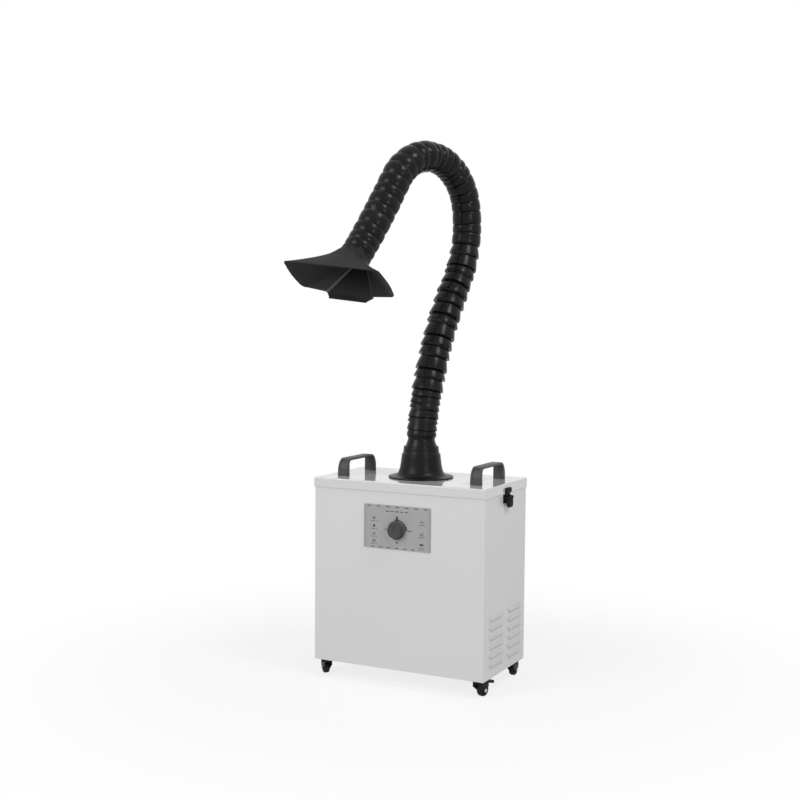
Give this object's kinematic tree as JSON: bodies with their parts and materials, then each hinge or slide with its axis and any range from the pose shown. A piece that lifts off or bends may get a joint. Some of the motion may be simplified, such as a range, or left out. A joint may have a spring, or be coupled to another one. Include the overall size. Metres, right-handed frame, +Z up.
{
  "type": "fume extractor",
  "caption": "Portable fume extractor: a white sheet-metal filter cabinet on casters with a lift-off lid, a ribbed gooseneck suction hose and a funnel hood.",
  "frame": {"origin": "on the floor under the middle of the cabinet", "axes": "+X to the cabinet's right seen from its front, +Y to the rear, +Z up; the control panel faces -Y"},
  "size_m": [0.456, 0.4871, 1.2443],
  "materials": {
    "white_paint": "satin",
    "galvanised_steel": "satin",
    "screw_steel": "satin",
    "axle_steel": "satin",
    "seal_rubber": "matte",
    "filter_frame": "matte",
    "filter_media": "matte",
    "carbon_foam": "matte",
    "prefilter_fibre": "matte",
    "panel_overlay": "satin",
    "knob_plastic": "satin",
    "handle_plastic": "satin",
    "control_case": "satin",
    "motor_case": "satin",
    "impeller_plastic": "satin",
    "latch_nylon": "satin",
    "flange_plastic": "satin",
    "hose_plastic": "satin",
    "hood_plastic": "satin",
    "caster_nylon": "satin",
    "caster_tread": "satin"
  },
  "bodies": {
    "cabinet": {"cabinet_shell": "white_paint", "rear_panel": "white_paint", "base_plate": "galvanised_steel", "fan_deck": "galvanised_steel", "inlet_ring": "galvanised_steel", "filter_seal": "seal_rubber", "filter_frame": "filter_frame", "filter_media": "filter_media", "carbon_filter": "carbon_foam", "prefilter": "prefilter_fibre", "lid_gasket": "seal_rubber", "control_panel": "panel_overlay", "speed_control": "control_case", "control_board": "control_case", "mains_inlet": "control_case", "motor_bracket": "galvanised_steel", "fan_motor": "motor_case", "latch_bases": "latch_nylon", "latch_pins": "screw_steel", "caster_plates": "caster_nylon", "cabinet_screws": "screw_steel"},
    "lid": {"lid_cover": "white_paint", "lid_screws": "screw_steel", "clamp_ring": "galvanised_steel", "hose_flange": "flange_plastic", "handle_left": "handle_plastic", "handle_right": "handle_plastic", "latch_hook_left": "latch_nylon", "latch_hook_right": "latch_nylon"},
    "hose_base": {"hose_cuff": "hose_plastic", "hose_flex_low": "hose_plastic"},
    "hose_lower": {"hose_section_lower": "hose_plastic", "hose_flex_mid": "hose_plastic"},
    "hose_middle": {"hose_section_middle": "hose_plastic", "hose_flex_arch": "hose_plastic"},
    "hose_upper": {"hose_section_upper": "hose_plastic", "hose_flex_tip": "hose_plastic"},
    "hose_tip": {"hood_collar": "hose_plastic"},
    "hood": {"hood": "hood_plastic"},
    "knob": {"speed_knob": "knob_plastic", "knob_shaft": "galvanised_steel"},
    "fan_rotor": {"fan_impeller": "impeller_plastic", "fan_shaft": "galvanised_steel"},
    "latch_lever_left": {"latch_lever_left": "latch_nylon"},
    "latch_lever_right": {"latch_lever_right": "latch_nylon"},
    "fork_front_left": {"caster_fork_front_left": "caster_nylon", "caster_axle_front_left": "axle_steel"},
    "wheel_front_left": {"caster_wheel_front_left": "caster_tread"},
    "pedal_front_left": {"brake_pedal_front_left": "caster_nylon"},
    "fork_front_right": {"caster_fork_front_right": "caster_nylon", "caster_axle_front_right": "axle_steel"},
    "wheel_front_right": {"caster_wheel_front_right": "caster_tread"},
    "pedal_front_right": {"brake_pedal_front_right": "caster_nylon"},
    "fork_rear_left": {"caster_fork_rear_left": "caster_nylon", "caster_axle_rear_left": "axle_steel"},
    "wheel_rear_left": {"caster_wheel_rear_left": "caster_tread"},
    "fork_rear_right": {"caster_fork_rear_right": "caster_nylon", "caster_axle_rear_right": "axle_steel"},
    "wheel_rear_right": {"caster_wheel_rear_right": "caster_tread"}
  },
  "joints": [
    {"name": "lid_lift", "type": "slide", "parent": "cabinet", "child": "lid", "axis": [0, 0, 1], "range_m": [0, 0.12]},
    {"name": "hose_swivel", "type": "hinge", "parent": "lid", "child": "hose_base", "pos_m": [0, 0, 0.541], "axis": [0, 0, 1], "continuous": true},
    {"name": "hose_bend_low", "type": "hinge", "parent": "hose_base", "child": "hose_lower", "pos_m": [0.00285, 0.00877, 0.62536], "axis": [0.9511, -0.309, 0], "range_deg": [-25, 25], "deforming": ["hose_flex_low"]},
    {"name": "hose_bend_mid", "type": "hinge", "parent": "hose_lower", "child": "hose_middle", "pos_m": [0.04107, 0.12641, 0.96178], "axis": [-0.9511, 0.309, 0], "range_deg": [-15, 30], "deforming": ["hose_flex_mid"]},
    {"name": "hose_bend_arch", "type": "hinge", "parent": "hose_middle", "child": "hose_upper", "pos_m": [0.02153, 0.06628, 1.19794], "axis": [0.9511, -0.309, 0], "range_deg": [-40, 10], "deforming": ["hose_flex_arch"]},
    {"name": "hose_bend_tip", "type": "hinge", "parent": "hose_upper", "child": "hose_tip", "pos_m": [-0.04696, -0.14454, 1.05474], "axis": [-0.9511, 0.309, 0], "range_deg": [-20, 35], "deforming": ["hose_flex_tip"]},
    {"name": "hood_swivel", "type": "hinge", "parent": "hose_tip", "child": "hood", "pos_m": [-0.06549, -0.20157, 0.97415], "axis": [-0.2003, -0.6164, -0.7615], "range_deg": [-90, 90]},
    {"name": "knob_turn", "type": "hinge", "parent": "cabinet", "child": "knob", "pos_m": [0, -0.1245, 0.361], "axis": [0, 1, 0], "range_deg": [0, 270]},
    {"name": "fan_spin", "type": "hinge", "parent": "cabinet", "child": "fan_rotor", "pos_m": [0, 0, 0.112], "axis": [0, 0, 1], "continuous": true},
    {"name": "latch_flip_left", "type": "hinge", "parent": "cabinet", "child": "latch_lever_left", "pos_m": [-0.2222, 0, 0.436], "axis": [0, 1, 0], "range_deg": [0, 140]},
    {"name": "latch_flip_right", "type": "hinge", "parent": "cabinet", "child": "latch_lever_right", "pos_m": [0.2222, 0, 0.436], "axis": [0, -1, 0], "range_deg": [0, 140]},
    {"name": "caster_swivel_front_left", "type": "hinge", "parent": "cabinet", "child": "fork_front_left", "pos_m": [-0.195, -0.095, 0.0342], "axis": [0, 0, 1], "continuous": true},
    {"name": "wheel_roll_front_left", "type": "hinge", "parent": "fork_front_left", "child": "wheel_front_left", "pos_m": [-0.20278, -0.08722, 0.014], "axis": [-0.7071, -0.7071, 0], "continuous": true},
    {"name": "brake_press_front_left", "type": "hinge", "parent": "fork_front_left", "child": "pedal_front_left", "pos_m": [-0.20808, -0.08192, 0.0312], "axis": [-0.7071, -0.7071, 0], "range_deg": [0, 15]},
    {"name": "caster_swivel_front_right", "type": "hinge", "parent": "cabinet", "child": "fork_front_right", "pos_m": [0.195, -0.095, 0.0342], "axis": [0, 0, 1], "continuous": true},
    {"name": "wheel_roll_front_right", "type": "hinge", "parent": "fork_front_right", "child": "wheel_front_right", "pos_m": [0.1984, -0.08454, 0.014], "axis": [-0.9511, 0.309, 0], "continuous": true},
    {"name": "brake_press_front_right", "type": "hinge", "parent": "fork_front_right", "child": "pedal_front_right", "pos_m": [0.20072, -0.07741, 0.0312], "axis": [-0.9511, 0.309, 0], "range_deg": [0, 15]},
    {"name": "caster_swivel_rear_left", "type": "hinge", "parent": "cabinet", "child": "fork_rear_left", "pos_m": [-0.195, 0.095, 0.0342], "axis": [0, 0, 1], "continuous": true},
    {"name": "wheel_roll_rear_left", "type": "hinge", "parent": "fork_rear_left", "child": "wheel_rear_left", "pos_m": [-0.19785, 0.10562, 0.014], "axis": [-0.9659, -0.2588, 0], "continuous": true},
    {"name": "caster_swivel_rear_right", "type": "hinge", "parent": "cabinet", "child": "fork_rear_right", "pos_m": [0.195, 0.095, 0.0342], "axis": [0, 0, 1], "continuous": true},
    {"name": "wheel_roll_rear_right", "type": "hinge", "parent": "fork_rear_right", "child": "wheel_rear_right", "pos_m": [0.195, 0.106, 0.014], "axis": [-1, 0, 0], "continuous": true}
  ]
}
